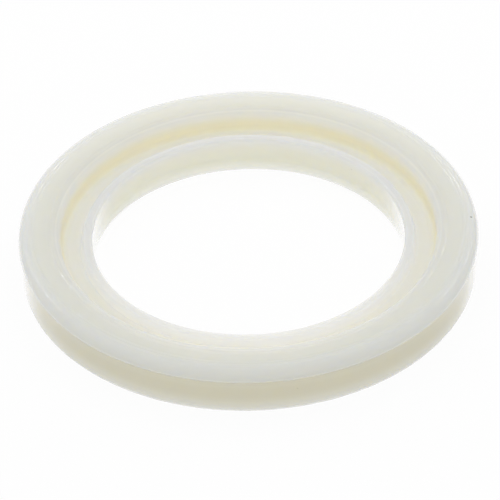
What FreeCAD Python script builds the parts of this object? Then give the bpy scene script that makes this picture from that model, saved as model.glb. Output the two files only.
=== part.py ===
import FreeCAD, Part
import Sketcher
import math
import os

# Group head gasket: one moulded ring of soft silicone that seals an espresso machine's group head.
# It rests on its flat face with the recessed side up. The origin is the middle of the resting
# face, +Z is the axis of the ring, and all lengths are in millimetres.
#
# The section is one closed outline, turned once round the axis. From the outside in it has:
#   a plain wall, bevelled where it meets the resting face;
#   a rim band round the top, which stands proud of the wall by a small step;
#   the land, a wide flat top face with a round outer edge, whose inner part falls a little
#   towards the recess;
#   the recess, whose round mouth leads down a plain side to a floor that rises towards the lip;
#   the lip, lower than the land, whose outer side leans inwards to a narrow crest;
#   the bore.

NODE = "gasket_ring"

# Driving dimensions: name, value, and what it measures.
SIZES = [
    ("outer_diameter", 73.0, "over the rim band"),
    ("ring_height", 8.5, "resting face to land"),
    ("rim_band_height", 2.0, "land down to the lower edge of the rim band"),
    ("rim_step", 0.4, "how far the rim band stands proud of the wall"),
    ("rim_slope_height", 0.4, "height of the slope under the rim band"),
    ("land_width", 6.7, "outside of the rim band to the side of the recess"),
    ("lead_in_width", 2.5, "inner part of the land, which falls towards the recess"),
    ("lead_in_fall", 0.2, "how far it falls"),
    ("recess_depth", 3.8, "land to the outer, lowest part of the recess floor"),
    ("recess_width", 3.1, "side of the recess to the foot of the lip"),
    ("floor_rise", 0.6, "how far the recess floor rises towards the lip"),
    ("lip_height", 1.3, "foot of the lip to its crest"),
    ("lip_lean", 0.45, "how much further out the foot of the lip is than its crest"),
    ("lip_crest_width", 1.5, "bore to the outer edge of the crest"),
    ("rim_top_rounding", 1.5, "outer edge of the land"),
    ("mouth_rounding", 1.4, "land into the side of the recess"),
    ("recess_corner_bevel", 0.7, "side of the recess into its floor"),
    ("lip_outer_bevel", 0.3, "outer edge of the crest"),
    ("lip_bore_bevel", 0.45, "bore edge of the crest"),
    ("base_outer_bevel", 0.7, "wall into the resting face"),
    ("base_bore_bevel", 0.9, "bore into the resting face"),
]

# Distances from the axis, each counted inwards from the outside of the rim band.
OUTER = "sizes.outer_diameter / 2"
WALL = OUTER + " - sizes.rim_step"
RECESS_SIDE = OUTER + " - sizes.land_width"
LEAD_IN = RECESS_SIDE + " + sizes.lead_in_width"
LIP_FOOT = RECESS_SIDE + " - sizes.recess_width"
LIP_OUTER = LIP_FOOT + " - sizes.lip_lean"
BORE = LIP_OUTER + " - sizes.lip_crest_width"

# Heights above the resting face.
BASE = "0"
LAND = "sizes.ring_height"
MOUTH = LAND + " - sizes.lead_in_fall"
RIM_LOWER = LAND + " - sizes.rim_band_height"
WALL_TOP = RIM_LOWER + " - sizes.rim_slope_height"
RECESS_FLOOR = LAND + " - sizes.recess_depth"
LIP_FLOOR = RECESS_FLOOR + " + sizes.floor_rise"
CREST = LIP_FLOOR + " + sizes.lip_height"

# Round and bevelled corners. None is larger than the faces beside it can carry.
RIM_TOP_ROUND = "min(sizes.rim_top_rounding; 0.8 * sizes.rim_band_height)"
MOUTH_ROUND = "min(sizes.mouth_rounding; 0.5 * sizes.recess_depth; 0.9 * sizes.lead_in_width)"
RECESS_BEVEL = "min(sizes.recess_corner_bevel; 0.3 * sizes.recess_depth; 0.45 * sizes.recess_width)"
LIP_OUTER_BEVEL = "min(sizes.lip_outer_bevel; 0.4 * sizes.lip_height; 0.4 * sizes.lip_crest_width)"
LIP_BORE_BEVEL = "min(sizes.lip_bore_bevel; 0.4 * sizes.lip_crest_width)"
BASE_OUTER_BEVEL = "sizes.base_outer_bevel"
BASE_BORE_BEVEL = "sizes.base_bore_bevel"

# Corners of the section in order, up the outside, across the top and down the bore:
# name, distance from the axis, height, how the corner is finished, and the size of that.
CORNERS = [
    ("base_outer", WALL, BASE, "bevel", BASE_OUTER_BEVEL),
    ("wall_top", WALL, WALL_TOP, "sharp", None),
    ("rim_lower", OUTER, RIM_LOWER, "sharp", None),
    ("rim_top", OUTER, LAND, "round", RIM_TOP_ROUND),
    ("lead_in_start", LEAD_IN, LAND, "sharp", None),
    ("recess_mouth", RECESS_SIDE, MOUTH, "round", MOUTH_ROUND),
    ("recess_corner", RECESS_SIDE, RECESS_FLOOR, "bevel", RECESS_BEVEL),
    ("lip_foot", LIP_FOOT, LIP_FLOOR, "sharp", None),
    ("lip_outer", LIP_OUTER, CREST, "bevel", LIP_OUTER_BEVEL),
    ("lip_bore", BORE, CREST, "bevel", LIP_BORE_BEVEL),
    ("base_bore", BORE, BASE, "bevel", BASE_BORE_BEVEL),
]

# How the sketch names the ends of a side, its own origin and its horizontal axis.
START = 1
END = 2
ORIGIN = -1
HORIZONTAL_AXIS = -1


def make_sizes(doc):
    """The sheet of driving dimensions, one row each."""
    sheet = doc.addObject("Spreadsheet::Sheet", "sizes")
    for row, (name, value, meaning) in enumerate(SIZES, start=1):
        sheet.set("A%d" % row, name)
        sheet.set("B%d" % row, str(value))
        sheet.set("C%d" % row, meaning)
        sheet.setAlias("B%d" % row, name)


def origin_plane(body, role):
    """The body's own origin plane that has this role."""
    planes = [plane for plane in body.Origin.OriginFeatures if plane.Role == role]
    return planes[0]


def tie(sketch, constraint, name, expression):
    """Add a constraint and tie its value to the sizes."""
    index = sketch.addConstraint(constraint)
    sketch.renameConstraint(index, name)
    sketch.setExpression("Constraints." + name, expression)


def place_corner(sketch, name, item, radius, height):
    """Tie the place of a corner, which is the start of this item, to the sizes."""
    across = Sketcher.Constraint("DistanceX", ORIGIN, START, item, START, sketch.evalExpression(radius))
    tie(sketch, across, name + "_radius", radius)
    if height == BASE:
        sketch.addConstraint(Sketcher.Constraint("PointOnObject", item, START, HORIZONTAL_AXIS))
        return
    up = Sketcher.Constraint("DistanceY", ORIGIN, START, item, START, sketch.evalExpression(height))
    tie(sketch, up, name + "_height", height)


def mark_corner(sketch, point, before, after):
    """Construction point where two shortened sides would meet."""
    mark = sketch.addGeometry(Part.Point(point), True)
    sketch.addConstraint(Sketcher.Constraint("PointOnObject", mark, START, before))
    sketch.addConstraint(Sketcher.Constraint("PointOnObject", mark, START, after))
    return mark


def taken_off(sketch, finish, size, arriving, leaving):
    """Length that the finish of a corner takes off each side."""
    if finish == "sharp":
        return 0
    if finish == "round":
        return sketch.evalExpression(size) * math.tan(arriving.getAngle(leaving) / 2)
    return sketch.evalExpression(size)


def round_corner(sketch, name, before, after, start, end, arriving, size):
    """Join two sides by an arc that both touch. The corner turns left."""
    radius = sketch.evalExpression(size)
    centre = start + FreeCAD.Vector(-arriving.y, arriving.x, 0) * radius
    circle = Part.Circle(centre, FreeCAD.Vector(0, 0, 1), radius)
    curve = Part.ArcOfCircle(circle, circle.parameter(start), circle.parameter(end))
    arc = sketch.addGeometry(curve, False)
    sketch.addConstraint(Sketcher.Constraint("Tangent", before, END, arc, START))
    sketch.addConstraint(Sketcher.Constraint("Tangent", arc, END, after, START))
    tie(sketch, Sketcher.Constraint("Radius", arc, radius), name + "_round", size)


def bevel_corner(sketch, name, before, after, start, end, mark, size):
    """Join two sides by a straight bevel that takes the same length off each."""
    length = sketch.evalExpression(size)
    bevel = sketch.addGeometry(Part.LineSegment(start, end), False)
    sketch.addConstraint(Sketcher.Constraint("Coincident", before, END, bevel, START))
    sketch.addConstraint(Sketcher.Constraint("Coincident", bevel, END, after, START))
    first = Sketcher.Constraint("Distance", mark, START, bevel, START, length)
    tie(sketch, first, name + "_before", size)
    second = Sketcher.Constraint("Distance", mark, START, bevel, END, length)
    tie(sketch, second, name + "_after", size)


def make_section(body):
    """Sketch of half the ring's section, with every corner placed by the sizes."""
    sketch = body.newObject("Sketcher::SketchObject", "RingSection")
    sketch.AttachmentSupport = [(origin_plane(body, "XZ_Plane"), "")]
    sketch.MapMode = "FlatFace"

    points = []
    for _, radius, height, _, _ in CORNERS:
        points.append(FreeCAD.Vector(sketch.evalExpression(radius), sketch.evalExpression(height), 0))
    count = len(points)
    directions = [(points[(i + 1) % count] - points[i]).normalize() for i in range(count)]
    trims = []
    for i, (_, _, _, finish, size) in enumerate(CORNERS):
        trims.append(taken_off(sketch, finish, size, directions[i - 1], directions[i]))

    # A side runs from each corner to the next, so side i starts at corner i.
    for i in range(count):
        after = (i + 1) % count
        start = points[i] + directions[i] * trims[i]
        end = points[after] - directions[i] * trims[after]
        sketch.addGeometry(Part.LineSegment(start, end), False)

    for i, (name, radius, height, finish, size) in enumerate(CORNERS):
        before = (i - 1) % count
        if finish == "sharp":
            sketch.addConstraint(Sketcher.Constraint("Coincident", before, END, i, START))
            place_corner(sketch, name, i, radius, height)
            continue
        mark = mark_corner(sketch, points[i], before, i)
        start = points[i] - directions[i - 1] * trims[i]
        end = points[i] + directions[i] * trims[i]
        if finish == "round":
            round_corner(sketch, name, before, i, start, end, directions[i - 1], size)
        else:
            bevel_corner(sketch, name, before, i, start, end, mark, size)
        place_corner(sketch, name, mark, radius, height)
    return sketch


def make_ring(doc):
    """The gasket as one body: its section turned once round the axis."""
    body = doc.addObject("PartDesign::Body", "GasketRing")
    body.Label = NODE
    sketch = make_section(body)
    ring = body.newObject("PartDesign::Revolution", "Ring")
    ring.Profile = sketch
    ring.ReferenceAxis = (sketch, ["V_Axis"])
    ring.Angle = 360.0
    return body


def check(doc, bodies):
    """Stop if any object failed or any body has no valid solid."""
    for item in doc.Objects:
        if "Invalid" in item.State or "Error" in item.State:
            raise RuntimeError("%s failed: %s" % (item.Name, item.State))
    for body in bodies:
        if body.Shape.isNull() or not body.Shape.isValid():
            raise RuntimeError("%s has no valid shape" % body.Label)
        print("%s: %d solid, %.1f mm3" % (body.Label, len(body.Shape.Solids), body.Shape.Volume))


def main():
    doc = FreeCAD.newDocument("GroupHeadGasket")
    make_sizes(doc)
    doc.recompute()
    bodies = [make_ring(doc)]
    doc.recompute()
    check(doc, bodies)
    os.makedirs("parts", exist_ok=True)
    for body in bodies:
        body.Shape.exportStep("parts/%s.step" % body.Label)


main()
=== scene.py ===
import math

import bmesh
import bpy
from mathutils import Matrix, Vector


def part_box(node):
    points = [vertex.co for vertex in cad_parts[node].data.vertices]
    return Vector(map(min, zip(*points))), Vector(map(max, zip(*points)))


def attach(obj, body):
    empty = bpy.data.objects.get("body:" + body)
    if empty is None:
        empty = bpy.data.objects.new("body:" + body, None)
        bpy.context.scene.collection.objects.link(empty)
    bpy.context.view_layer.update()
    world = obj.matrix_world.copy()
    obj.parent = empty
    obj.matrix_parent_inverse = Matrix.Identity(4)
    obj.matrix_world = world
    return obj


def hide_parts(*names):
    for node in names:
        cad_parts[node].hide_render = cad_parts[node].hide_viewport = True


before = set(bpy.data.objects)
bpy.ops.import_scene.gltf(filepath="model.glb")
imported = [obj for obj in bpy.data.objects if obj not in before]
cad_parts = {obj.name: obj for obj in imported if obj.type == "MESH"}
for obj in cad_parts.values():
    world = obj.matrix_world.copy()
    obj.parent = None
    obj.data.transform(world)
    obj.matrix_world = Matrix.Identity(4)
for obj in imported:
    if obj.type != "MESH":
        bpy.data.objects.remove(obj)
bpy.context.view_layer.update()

# Look of the group head gasket: one moulded ring of milky, slightly translucent silicone that
# lies on a white floor with its recessed side up. The ring rests on z = 0 with its axis along Z,
# and the camera looks along +Y and down. Lengths are in metres, apart from the stops of the
# colour tables with their painted light and shade, which are in millimetres.

MM = 0.001
NODE = "gasket_ring"


# Section of the ring

NODE_LOW, NODE_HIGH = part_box(NODE)
OUTER_RADIUS = (NODE_HIGH[0] - NODE_LOW[0]) / 2
HEIGHT = NODE_HIGH[2] - NODE_LOW[2]

RIM_BAND_HEIGHT = 2.0 * MM
RIM_STEP = 0.4 * MM
RIM_SLOPE_HEIGHT = 0.4 * MM
LAND_WIDTH = 6.7 * MM
LEAD_IN_WIDTH = 2.5 * MM
LEAD_IN_FALL = 0.2 * MM
RECESS_DEPTH = 3.8 * MM
RECESS_WIDTH = 3.1 * MM
FLOOR_RISE = 0.6 * MM
LIP_HEIGHT = 1.3 * MM
LIP_LEAN = 0.45 * MM
LIP_CREST_WIDTH = 1.5 * MM

WALL_RADIUS = OUTER_RADIUS - RIM_STEP
RECESS_SIDE = OUTER_RADIUS - LAND_WIDTH
LEAD_IN_START = RECESS_SIDE + LEAD_IN_WIDTH
LIP_FOOT = RECESS_SIDE - RECESS_WIDTH
LIP_OUTER = LIP_FOOT - LIP_LEAN
BORE_RADIUS = LIP_OUTER - LIP_CREST_WIDTH

RIM_LOWER = HEIGHT - RIM_BAND_HEIGHT
MOUTH_LEVEL = HEIGHT - LEAD_IN_FALL
RECESS_FLOOR = HEIGHT - RECESS_DEPTH
LIP_FLOOR = RECESS_FLOOR + FLOOR_RISE
CREST = LIP_FLOOR + LIP_HEIGHT

# Corners of the section in order, up the outside, across the top and down the bore:
# distance from the axis, height, and radius of the rounding.
SECTION = [
    (WALL_RADIUS, 0.0, 1.0 * MM),
    (WALL_RADIUS, RIM_LOWER - RIM_SLOPE_HEIGHT, 0.45 * MM),
    (OUTER_RADIUS, RIM_LOWER, 0.7 * MM),
    (OUTER_RADIUS, HEIGHT, 1.5 * MM),
    (LEAD_IN_START, HEIGHT, 2.0 * MM),
    (RECESS_SIDE, MOUTH_LEVEL, 1.4 * MM),
    (RECESS_SIDE, RECESS_FLOOR, 1.0 * MM),
    (LIP_FOOT, LIP_FLOOR, 0.15 * MM),
    (LIP_OUTER, CREST, 0.35 * MM),
    (BORE_RADIUS, CREST, 0.5 * MM),
    (BORE_RADIUS, 0.0, 1.1 * MM),
]

# Fine lines that the mould left on the land, from the outside in. Each is a shallow groove, whose
# one side falls steeply and whose other side rises slowly back: distance from the axis, and how
# steeply it falls inwards, or outwards where the angle is negative.
MOULD_LINES = [
    (34.8 * MM, math.radians(27.1)),
    (34.25 * MM, math.radians(27.1)),
    (31.45 * MM, math.radians(-20.9)),
]
# Length of the steep side, points along it, and width of the slow side.
STEEP_LENGTH = 0.07 * MM
STEEP_STEPS = 4
SLOW_WIDTH = 0.5 * MM

# Fineness of the mesh: angle between points on a rounding, distance between points on a side,
# and steps round the axis.
ARC_STEP = math.radians(4)
SIDE_STEP = 0.6 * MM
TURN_STEPS = 360


def rounded_corner(before, corner, after, radius):
    """Points along the arc that rounds one corner of the section, its two ends included."""
    arriving = (corner - before).normalized()
    leaving = (after - corner).normalized()
    turn = arriving.angle_signed(leaving)
    length = radius * math.tan(abs(turn) / 2)
    start = corner - arriving * length
    side = 1 if arriving.cross(leaving) > 0 else -1
    centre = start + Vector((-arriving.y, arriving.x)) * radius * side
    steps = max(2, math.ceil(abs(turn) / ARC_STEP))
    arm = start - centre
    points = []
    for step in range(steps + 1):
        angle = side * abs(turn) * step / steps
        points.append(centre + Matrix.Rotation(angle, 2) @ arm)
    return points


def mould_line(start, end, radius, tilt):
    """Points over the small groove of a mould line on the side from start to end."""
    inward = (end - start).normalized()
    middle = start.lerp(end, (radius - start.x) / (end.x - start.x))
    falls_inward = tilt > 0
    across = -math.cos(tilt) if falls_inward else math.cos(tilt)
    steep = Vector((across, -math.sin(abs(tilt)))) * STEEP_LENGTH
    slow = inward * SLOW_WIDTH if falls_inward else -inward * SLOW_WIDTH
    points = [middle + steep * step / STEEP_STEPS for step in range(STEEP_STEPS + 1)]
    points.append(middle + slow)
    if not falls_inward:
        points.reverse()
    return points


def side_points(start, end):
    """Points between two rounded corners, with the mould lines that cross this side.

    Neither end is among them, because both belong to a rounding.
    """
    stops = [start]
    if start.y > MOUTH_LEVEL and end.y > MOUTH_LEVEL:
        for radius, tilt in MOULD_LINES:
            if end.x < radius < start.x:
                stops += mould_line(start, end, radius, tilt)
    stops.append(end)
    points = []
    for here, there in zip(stops, stops[1:]):
        pieces = max(1, round((there - here).length / SIDE_STEP))
        points += [here.lerp(there, step / pieces) for step in range(pieces)]
    return points[1:]


def section_points():
    """The closed, rounded section, with its long sides divided."""
    corners = [Vector((radius, height)) for radius, height, _ in SECTION]
    count = len(corners)
    roundings = []
    for i, (_, _, rounding) in enumerate(SECTION):
        after = corners[(i + 1) % count]
        roundings.append(rounded_corner(corners[i - 1], corners[i], after, rounding))
    points = []
    for i in range(count):
        points += roundings[i]
        points += side_points(roundings[i][-1], roundings[(i + 1) % count][0])
    return points


def make_ring():
    """The ring as one closed mesh: its section turned once round the axis."""
    section = section_points()
    mesh = bpy.data.meshes.new("silicone_ring")
    work = bmesh.new()
    loops = []
    for turn in range(TURN_STEPS):
        angle = 2 * math.pi * turn / TURN_STEPS
        across, along = math.cos(angle), math.sin(angle)
        loops.append([work.verts.new((p.x * across, p.x * along, p.y)) for p in section])
    for turn in range(TURN_STEPS):
        here, there = loops[turn], loops[(turn + 1) % TURN_STEPS]
        for i in range(len(section)):
            j = (i + 1) % len(section)
            work.faces.new((here[i], there[i], there[j], here[j]))
    bmesh.ops.recalc_face_normals(work, faces=work.faces)
    work.to_mesh(mesh)
    work.free()
    for face in mesh.polygons:
        face.use_smooth = True
    ring = bpy.data.objects.new("silicone_ring", mesh)
    bpy.context.collection.objects.link(ring)
    ring.data.materials.append(silicone())
    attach(ring, "root")
    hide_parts(NODE)


# Materials

def new_material(name):
    """A node material with nothing in it but its output."""
    material = bpy.data.materials.new(name)
    material.use_nodes = True
    nodes = material.node_tree.nodes
    nodes.clear()
    output = nodes.new("ShaderNodeOutputMaterial")
    return material, nodes, material.node_tree.links, output


def link_value(links, socket, value):
    """Feed an input from another node's output, or set it to a plain value."""
    if isinstance(value, bpy.types.NodeSocket):
        links.new(value, socket)
    else:
        socket.default_value = value


def share_between(nodes, links, value, limits):
    """0 up to the first limit, 1 from the second on, and linear between."""
    ramp = nodes.new("ShaderNodeMapRange")
    links.new(value, ramp.inputs["Value"])
    ramp.inputs["From Min"].default_value, ramp.inputs["From Max"].default_value = limits
    return ramp.outputs["Result"]


def smooth_share(nodes, links, value, limits, lowest=0.0):
    """The lowest share up to the first limit, 1 from the second on, and smooth between."""
    ramp = nodes.new("ShaderNodeMapRange")
    ramp.interpolation_type = "SMOOTHSTEP"
    links.new(value, ramp.inputs["Value"])
    ramp.inputs["From Min"].default_value, ramp.inputs["From Max"].default_value = limits
    ramp.inputs["To Min"].default_value = lowest
    return ramp.outputs["Result"]


def product(nodes, links, first, second):
    """One share times another."""
    multiply = nodes.new("ShaderNodeMath")
    multiply.operation = "MULTIPLY"
    link_value(links, multiply.inputs[0], first)
    link_value(links, multiply.inputs[1], second)
    return multiply.outputs[0]


def total(nodes, links, first, second):
    """Sum of two shares, at most 1."""
    add = nodes.new("ShaderNodeMath")
    add.operation = "ADD"
    add.use_clamp = True
    link_value(links, add.inputs[0], first)
    link_value(links, add.inputs[1], second)
    return add.outputs[0]


def larger(nodes, links, first, second):
    """The larger of two shares."""
    maximum = nodes.new("ShaderNodeMath")
    maximum.operation = "MAXIMUM"
    link_value(links, maximum.inputs[0], first)
    link_value(links, maximum.inputs[1], second)
    return maximum.outputs[0]


def mixed(nodes, links, share, first, second):
    """Colour that goes from the first to the second as share goes from 0 to 1."""
    mix = nodes.new("ShaderNodeMix")
    mix.data_type = "RGBA"
    link_value(links, mix.inputs["Factor"], share)
    link_value(links, mix.inputs["A"], first)
    link_value(links, mix.inputs["B"], second)
    return mix.outputs["Result"]


def colour_along(nodes, links, value, stops):
    """Colour that follows a length, with the stops in millimetres."""
    low, high = stops[0][0], stops[-1][0]
    share = share_between(nodes, links, value, (low * MM, high * MM))
    band = nodes.new("ShaderNodeValToRGB")
    links.new(share, band.inputs["Fac"])
    elements = band.color_ramp.elements
    # Each new stop starts in the middle, and the loop below it puts all of them in their places.
    while len(elements) < len(stops):
        elements.new(0.5)
    for element, (place, colour) in zip(elements, stops):
        element.position = (place - low) / (high - low)
        element.color = (*colour, 1)
    return band.outputs["Color"]


# Milky silicone is whiter where it is thick and lit from above, and warmer where light reaches it
# through the body. These tables paint that light and shade into its colour, over the silicone's
# own milky tone. The table by distance from the axis gives the colour over the crest of the lip,
# the floor of the recess, the land and the rim. The three by height give it on the outer side of
# the recess, on the outer wall and in the bore. BODY, the silicone's own colour, is for what is
# left.
BODY = (0.64, 0.63, 0.59, 1)
# Painted light and shade across the top: a grey-blue painted sheen on the crest of the lip, with a
# painted highlight line at 25.12 mm and a paler one on its outer edge; the recess floor painted
# brighter and warmer where it lies in shade; a painted highlight line with painted shade on either
# side of it near 30.4 mm at the mouth; and a grey-blue painted sheen on the rounding of the rim.
TOP_TONE_AND_PAINTED_LIGHT = [
    (24.7, (0.632, 0.650, 0.645)),
    (25.0, (0.634, 0.651, 0.647)),
    (25.12, (0.668, 0.682, 0.672)),
    (25.24, (0.636, 0.651, 0.648)),
    (25.9, (0.633, 0.652, 0.655)),
    (26.4, (0.725, 0.757, 0.775)),
    (26.9, (0.762, 0.758, 0.702)),
    (27.4, (0.772, 0.760, 0.680)),
    (28.6, (0.800, 0.785, 0.710)),
    (29.4, (0.850, 0.808, 0.690)),
    (30.1, (0.637, 0.653, 0.633)),
    (30.26, (0.614, 0.630, 0.612)),
    (30.42, (0.648, 0.657, 0.622)),
    (30.6, (0.648, 0.657, 0.622)),
    (30.74, (0.586, 0.600, 0.579)),
    (30.92, (0.588, 0.600, 0.575)),
    (31.2, (0.600, 0.611, 0.578)),
    (32.0, (0.605, 0.617, 0.585)),
    (33.5, (0.611, 0.625, 0.588)),
    (35.0, (0.585, 0.609, 0.598)),
    (36.5, (0.574, 0.596, 0.592)),
]
# Painted light on the outer side of the recess: warm and bright low down, where light comes
# through the thin body, and greyer towards the mouth.
SIDE_TONE_AND_PAINTED_LIGHT = [
    (4.9, (0.865, 0.808, 0.660)),
    (5.3, (0.832, 0.770, 0.632)),
    (5.7, (0.795, 0.732, 0.600)),
    (6.4, (0.775, 0.718, 0.585)),
    (6.9, (0.758, 0.720, 0.612)),
    (7.5, (0.715, 0.702, 0.645)),
    (7.8, (0.675, 0.678, 0.645)),
    (8.2, (0.640, 0.655, 0.633)),
]
# Painted light and shade on the outer wall: much brighter towards its foot, where the floor lights
# it, darker and warmer over its middle, and darkest just under the step of the rim.
WALL_TONE_AND_PAINTED_LIGHT = [
    (0.3, (0.900, 0.910, 0.770)),
    (0.9, (0.795, 0.800, 0.680)),
    (1.5, (0.688, 0.684, 0.602)),
    (2.5, (0.606, 0.601, 0.533)),
    (3.2, (0.580, 0.573, 0.505)),
    (4.6, (0.578, 0.572, 0.508)),
    (5.3, (0.593, 0.589, 0.532)),
    (5.8, (0.588, 0.585, 0.530)),
    (6.1, (0.520, 0.520, 0.483)),
    (6.5, (0.534, 0.538, 0.510)),
]
# Painted light in the bore: brighter and warmer towards its foot, where the floor lights it and
# light comes through the body.
BORE_TONE_AND_PAINTED_LIGHT = [
    (0.3, (0.990, 0.965, 0.700)),
    (1.3, (0.980, 0.945, 0.610)),
    (2.0, (0.950, 0.920, 0.650)),
    (3.0, (0.885, 0.860, 0.672)),
    (5.0, (0.770, 0.760, 0.650)),
    (6.5, (0.695, 0.710, 0.685)),
]

# Where the parts of the section begin, as pairs: where a part's share leaves 0, and where it
# reaches 1. These are heights.
ABOVE_BODY = (3.0 * MM, 3.6 * MM)
BELOW_TOP = (6.5 * MM, 6.1 * MM)
OUTER_EDGE_HEIGHT = (7.0 * MM, 7.4 * MM)
# These are distances from the axis.
WALL = (31.5 * MM, 32.0 * MM)
BORE = (25.9 * MM, 25.6 * MM)
SIDE_FROM_INSIDE = (29.3 * MM, 29.5 * MM)
SIDE_FROM_OUTSIDE = (30.4 * MM, 30.1 * MM)
OUTSIDE_RECESS = (30.2 * MM, 30.6 * MM)
INSIDE_RECESS = (26.15 * MM, 25.7 * MM)
OUTER_EDGE = (35.8 * MM, 36.1 * MM)
INNER_EDGE = (25.3 * MM, 25.0 * MM)

# Gloss rises where the surface turns away from the eye. A turn of 0 faces the eye and a turn of 1
# is edge on. With the plain blend, the turn is 1 less the cosine of the angle. The pairs say at
# which turn the gloss leaves its lowest share, and where it is full. A pair that ends past 1
# never gets that far. The matt recess has little coat at any turn.
PLAIN_BLEND = 0.5
COAT_TURN = (0.50, 0.85)
COAT_LOWEST = 0.45
COAT_IN_RECESS = 0.12
WALL_TURN = (0.68, 1.05)
BORE_TURN = (0.59, 0.97)
OUTER_EDGE_TURN = (0.52, 0.90)
GRAZING_TURN = (0.75, 1.0)

# The foot of each wall shows the white floor: height where that starts, height where it is full,
# and how much it is there.
WALL_FOOT = (1.1 * MM, 0.4 * MM, 0.40)
BORE_FOOT = (2.7 * MM, 0.7 * MM, 0.47)

# The silicone itself, its thin coat of gloss, and the mirror gloss laid over both.
ROUGHNESS = 0.35
REFRACTION = 1.42
SPECULAR_LEVEL = 0.1
SCATTER_LENGTH = 30.0 * MM
SCATTER_BY_COLOUR = (1.0, 0.85, 0.55)
COAT_ROUGHNESS = 0.02
COAT_REFRACTION = 1.65
MIRROR_ROUGHNESS = 0.05
MIRROR_COLOUR = (0.98, 0.98, 0.97, 1)

# Faint cloudiness in the silicone.
CLOUD_SIZE = 2.5 * MM
CLOUD_DETAIL = 3.0
CLOUD_SHARE = 0.06
CLOUD_COLOUR = (0.45, 0.44, 0.38, 1)

# Dark specks on the surface: place, radius and darkness. Each fades out from half its radius on.
SPECKS = [
    ((35.34 * MM, 0.44 * MM, 8.46 * MM), 0.24 * MM, 0.85),
    ((16.97 * MM, 18.02 * MM, 5.11 * MM), 0.15 * MM, 0.2),
    ((6.89 * MM, -35.43 * MM, 4.22 * MM), 0.15 * MM, 0.2),
]
SPECK_CORE = 0.5
SPECK_COLOUR = (0.12, 0.13, 0.13, 1)


def place_in_section(nodes, links, position):
    """Distance from the axis of the ring and height."""
    split = nodes.new("ShaderNodeSeparateXYZ")
    links.new(position, split.inputs[0])
    flat = nodes.new("ShaderNodeCombineXYZ")
    links.new(split.outputs["X"], flat.inputs["X"])
    links.new(split.outputs["Y"], flat.inputs["Y"])
    length = nodes.new("ShaderNodeVectorMath")
    length.operation = "LENGTH"
    links.new(flat.outputs[0], length.inputs[0])
    return length.outputs["Value"], split.outputs["Z"]


def wall_shares(nodes, links, radius, height):
    """1 on the outer wall, and 1 in the bore, each fading out towards the top."""
    below_top = share_between(nodes, links, height, BELOW_TOP)
    at_wall = product(nodes, links, share_between(nodes, links, radius, WALL), below_top)
    at_bore = product(nodes, links, share_between(nodes, links, radius, BORE), below_top)
    return at_wall, at_bore


def section_tone_and_painted_light(nodes, links, radius, height, at_wall, at_bore):
    """Colour of the silicone by its place in the section, with light and shade painted into it."""
    top = colour_along(nodes, links, radius, TOP_TONE_AND_PAINTED_LIGHT)
    wall = colour_along(nodes, links, height, WALL_TONE_AND_PAINTED_LIGHT)
    bore = colour_along(nodes, links, height, BORE_TONE_AND_PAINTED_LIGHT)
    side = colour_along(nodes, links, height, SIDE_TONE_AND_PAINTED_LIGHT)
    from_outside = share_between(nodes, links, radius, SIDE_FROM_OUTSIDE)
    from_inside = share_between(nodes, links, radius, SIDE_FROM_INSIDE)
    top = mixed(nodes, links, product(nodes, links, from_outside, from_inside), top, side)
    colour = mixed(nodes, links, share_between(nodes, links, height, ABOVE_BODY), BODY, top)
    colour = mixed(nodes, links, at_wall, colour, wall)
    return mixed(nodes, links, at_bore, colour, bore)


def with_mottle(nodes, links, position, colour):
    """The colour with the faint cloudiness of milky silicone."""
    cloud = nodes.new("ShaderNodeTexNoise")
    cloud.inputs["Scale"].default_value = 1 / CLOUD_SIZE
    cloud.inputs["Detail"].default_value = CLOUD_DETAIL
    links.new(position, cloud.inputs["Vector"])
    share = product(nodes, links, cloud.outputs["Fac"], CLOUD_SHARE)
    return mixed(nodes, links, share, colour, CLOUD_COLOUR)


def with_specks(nodes, links, position, colour):
    """The colour with the few dark specks that lie on the ring."""
    for place, radius, darkness in SPECKS:
        distance = nodes.new("ShaderNodeVectorMath")
        distance.operation = "DISTANCE"
        links.new(position, distance.inputs[0])
        distance.inputs[1].default_value = place
        limits = (radius, radius * SPECK_CORE)
        inside = share_between(nodes, links, distance.outputs["Value"], limits)
        share = product(nodes, links, inside, darkness)
        colour = mixed(nodes, links, share, colour, SPECK_COLOUR)
    return colour


def beside_recess(nodes, links, radius):
    """0 in the recess, which came off a rougher part of the mould, and 1 on either side of it."""
    outside = share_between(nodes, links, radius, OUTSIDE_RECESS)
    inside = share_between(nodes, links, radius, INSIDE_RECESS)
    return larger(nodes, links, outside, inside)


def coat_share(nodes, links, turn, beside):
    """Share of the thin coat: low where the surface faces the eye, full where it turns away."""
    rising = smooth_share(nodes, links, turn, COAT_TURN, COAT_LOWEST)
    return product(nodes, links, rising, larger(nodes, links, beside, COAT_IN_RECESS))


def foot_share(nodes, links, height, place, foot):
    """Share of mirror gloss at the foot of a wall."""
    start, full, most = foot
    rising = share_between(nodes, links, height, (start, full))
    return product(nodes, links, product(nodes, links, rising, place), most)


def turned_share(nodes, links, turn, limits, place):
    """Share of mirror gloss at a place, where its surface turns away from the eye."""
    return product(nodes, links, smooth_share(nodes, links, turn, limits), place)


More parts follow.
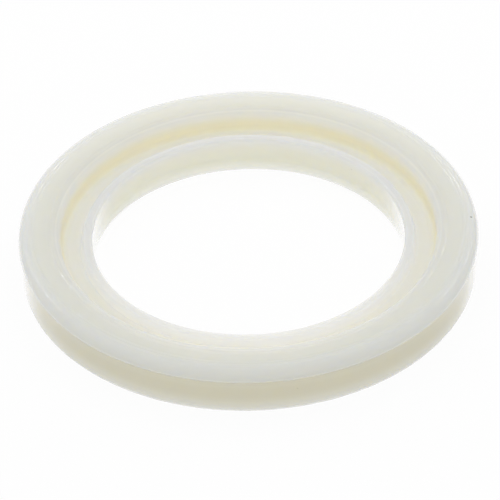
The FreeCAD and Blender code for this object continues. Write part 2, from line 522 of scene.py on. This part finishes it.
def mirror_share(nodes, links, turn, beside, radius, height, at_wall, at_bore):
    """Share of mirror gloss.

    The two walls came off a polished part of the mould, and their feet show the white floor.
    The round edges of the rim and the bore have it too, and the rest only at a grazing angle.
    """
    wall = turned_share(nodes, links, turn, WALL_TURN, at_wall)
    wall = larger(nodes, links, wall, foot_share(nodes, links, height, at_wall, WALL_FOOT))

    inner_edge = share_between(nodes, links, radius, INNER_EDGE)
    bore = turned_share(nodes, links, turn, BORE_TURN, larger(nodes, links, at_bore, inner_edge))
    bore = total(nodes, links, bore, foot_share(nodes, links, height, at_bore, BORE_FOOT))

    outer_edge = share_between(nodes, links, radius, OUTER_EDGE)
    high_up = share_between(nodes, links, height, OUTER_EDGE_HEIGHT)
    at_edge = product(nodes, links, outer_edge, high_up)
    edge = turned_share(nodes, links, turn, OUTER_EDGE_TURN, at_edge)

    rest = turned_share(nodes, links, turn, GRAZING_TURN, beside)
    return larger(nodes, links, larger(nodes, links, wall, bore), larger(nodes, links, edge, rest))


def silicone():
    """Milky silicone that scatters light inside, with light and shade painted into its colour, and
    gloss that follows the mould's finish.
    """
    material, nodes, links, output = new_material("milky_silicone")
    coordinates = nodes.new("ShaderNodeTexCoord")
    position = coordinates.outputs["Object"]
    radius, height = place_in_section(nodes, links, position)
    at_wall, at_bore = wall_shares(nodes, links, radius, height)
    colour = section_tone_and_painted_light(nodes, links, radius, height, at_wall, at_bore)
    colour = with_mottle(nodes, links, position, colour)
    colour = with_specks(nodes, links, position, colour)

    layer = nodes.new("ShaderNodeLayerWeight")
    layer.inputs["Blend"].default_value = PLAIN_BLEND
    turn = layer.outputs["Facing"]
    beside = beside_recess(nodes, links, radius)

    shader = nodes.new("ShaderNodeBsdfPrincipled")
    links.new(colour, shader.inputs["Base Color"])
    shader.inputs["Roughness"].default_value = ROUGHNESS
    shader.inputs["IOR"].default_value = REFRACTION
    shader.inputs["Specular IOR Level"].default_value = SPECULAR_LEVEL
    shader.inputs["Subsurface Weight"].default_value = 1.0
    shader.inputs["Subsurface Radius"].default_value = SCATTER_BY_COLOUR
    shader.inputs["Subsurface Scale"].default_value = SCATTER_LENGTH
    links.new(coat_share(nodes, links, turn, beside), shader.inputs["Coat Weight"])
    shader.inputs["Coat Roughness"].default_value = COAT_ROUGHNESS
    shader.inputs["Coat IOR"].default_value = COAT_REFRACTION

    mirror = nodes.new("ShaderNodeBsdfAnisotropic")
    mirror.inputs["Color"].default_value = MIRROR_COLOUR
    mirror.inputs["Roughness"].default_value = MIRROR_ROUGHNESS
    share = mirror_share(nodes, links, turn, beside, radius, height, at_wall, at_bore)
    mix = nodes.new("ShaderNodeMixShader")
    links.new(share, mix.inputs["Fac"])
    links.new(shader.outputs["BSDF"], mix.inputs[1])
    links.new(mirror.outputs["BSDF"], mix.inputs[2])
    links.new(mix.outputs["Shader"], output.inputs["Surface"])
    return material


# Surroundings

# Width of the floor, its colour where light falls on it, and how much of it is seen as white.
FLOOR_SIZE = 6.0
FLOOR_COLOUR = (0.95, 0.95, 0.95, 1)
FLOOR_WHITE_SHARE = 0.95

# Light of the sky on the side of the camera and on the far side, and its colour.
SKY_FRONT = 0.65
SKY_BACK = 0.69
WHITE = (1, 1, 1, 1)

# Soft lamps, each facing the ring: name, place, which way its length lies, length and width,
# power in watts, and whether gloss shows the lamp. The strips draw the arcs on the mould lines.
LAMPS = [
    ("top_lamp", (0.0, 0.06, 0.20), (1.0, 0.0, 0.0), (0.20, 0.20), 0.13, False),
    ("left_strip", (-0.50, 0.575, 0.617), (0.0, -0.773, 0.634), (0.335, 0.035), 0.53, True),
    ("right_strip", (0.50, 0.575, 0.617), (0.0, -0.773, 0.634), (0.335, 0.035), 0.29, True),
]


def plainly_seen(nodes, links):
    """1 where the eye sees a surface or sky straight, in a reflection or through something."""
    rays = nodes.new("ShaderNodeLightPath")
    seen = larger(nodes, links, rays.outputs["Is Camera Ray"], rays.outputs["Is Glossy Ray"])
    return larger(nodes, links, seen, rays.outputs["Is Transmission Ray"])


def white_floor():
    """White seen straight or in gloss, with a small share left for the shadow of the ring."""
    material, nodes, links, output = new_material("white_floor")
    lit = nodes.new("ShaderNodeBsdfDiffuse")
    lit.inputs["Color"].default_value = FLOOR_COLOUR
    white = nodes.new("ShaderNodeEmission")
    white.inputs["Strength"].default_value = 1.0
    share = product(nodes, links, plainly_seen(nodes, links), FLOOR_WHITE_SHARE)
    mix = nodes.new("ShaderNodeMixShader")
    links.new(share, mix.inputs["Fac"])
    links.new(lit.outputs["BSDF"], mix.inputs[1])
    links.new(white.outputs["Emission"], mix.inputs[2])
    links.new(mix.outputs["Shader"], output.inputs["Surface"])
    return material


def make_floor():
    """A wide, flat, white floor under the ring."""
    mesh = bpy.data.meshes.new("floor")
    half = FLOOR_SIZE / 2
    corners = [(-half, -half, 0), (half, -half, 0), (half, half, 0), (-half, half, 0)]
    mesh.from_pydata(corners, [], [(0, 1, 2, 3)])
    floor = bpy.data.objects.new("floor", mesh)
    bpy.context.collection.objects.link(floor)
    floor.data.materials.append(white_floor())


def make_lamps():
    """The lamps, each turned so that it faces the ring and its length lies as given."""
    for name, place, lying, (length, width), power, glossy in LAMPS:
        lamp = bpy.data.lights.new(name, "AREA")
        lamp.shape = "RECTANGLE"
        lamp.size = length
        lamp.size_y = width
        lamp.energy = power
        holder = bpy.data.objects.new(name, lamp)
        holder.visible_glossy = glossy
        away = Vector(place).normalized()
        up = away.cross(Vector(lying)).normalized()
        axes = Matrix((up.cross(away), up, away)).transposed()
        holder.matrix_world = Matrix.Translation(place) @ axes.to_4x4()
        bpy.context.collection.objects.link(holder)


def make_world():
    """A sky that lights the ring evenly, a little more from the back, and is seen as white."""
    world = bpy.data.worlds.new("studio")
    world.use_nodes = True
    nodes, links = world.node_tree.nodes, world.node_tree.links
    nodes.clear()
    output = nodes.new("ShaderNodeOutputWorld")

    direction = nodes.new("ShaderNodeTexCoord")
    split = nodes.new("ShaderNodeSeparateXYZ")
    links.new(direction.outputs["Generated"], split.inputs[0])
    level = nodes.new("ShaderNodeMapRange")
    level.inputs["From Min"].default_value = -1.0
    level.inputs["From Max"].default_value = 1.0
    level.inputs["To Min"].default_value = SKY_FRONT
    level.inputs["To Max"].default_value = SKY_BACK
    links.new(split.outputs["Y"], level.inputs["Value"])

    light = nodes.new("ShaderNodeBackground")
    light.inputs["Color"].default_value = WHITE
    links.new(level.outputs["Result"], light.inputs["Strength"])
    white = nodes.new("ShaderNodeBackground")
    white.inputs["Color"].default_value = WHITE
    mix = nodes.new("ShaderNodeMixShader")
    links.new(plainly_seen(nodes, links), mix.inputs["Fac"])
    links.new(light.outputs["Background"], mix.inputs[1])
    links.new(white.outputs["Background"], mix.inputs[2])
    links.new(mix.outputs["Shader"], output.inputs["Surface"])
    bpy.context.scene.world = world


# Camera

# Distance from the middle of the resting face, angle above the floor, turn about the line of
# sight, the lens, and how far the picture is shifted, as a share of its width.
CAMERA_DISTANCE = 0.7134
CAMERA_ELEVATION = math.radians(38.64)
CAMERA_ROLL = math.radians(-1.51)
CAMERA_LENS_MM = 322.0
CAMERA_SENSOR_MM = 36.0
CAMERA_SHIFT = (0.00144, 0.0327)
CAMERA_NEAREST = 0.01


def make_camera():
    """The camera. It looks at the middle of the resting face, and its shift places the ring."""
    camera = bpy.data.cameras.new("camera")
    camera.sensor_width = CAMERA_SENSOR_MM
    camera.lens = CAMERA_LENS_MM
    camera.shift_x, camera.shift_y = CAMERA_SHIFT
    camera.clip_start = CAMERA_NEAREST
    holder = bpy.data.objects.new("camera", camera)
    tilt = Matrix.Rotation(math.pi / 2 - CAMERA_ELEVATION, 4, "X")
    roll = Matrix.Rotation(CAMERA_ROLL, 4, "Z")
    holder.matrix_world = tilt @ Matrix.Translation((0, 0, CAMERA_DISTANCE)) @ roll
    bpy.context.collection.objects.link(holder)
    bpy.context.scene.camera = holder


def main():
    """Build the scene."""
    bpy.context.scene.view_settings.view_transform = "Standard"
    make_ring()
    make_floor()
    make_lamps()
    make_world()
    make_camera()


main()
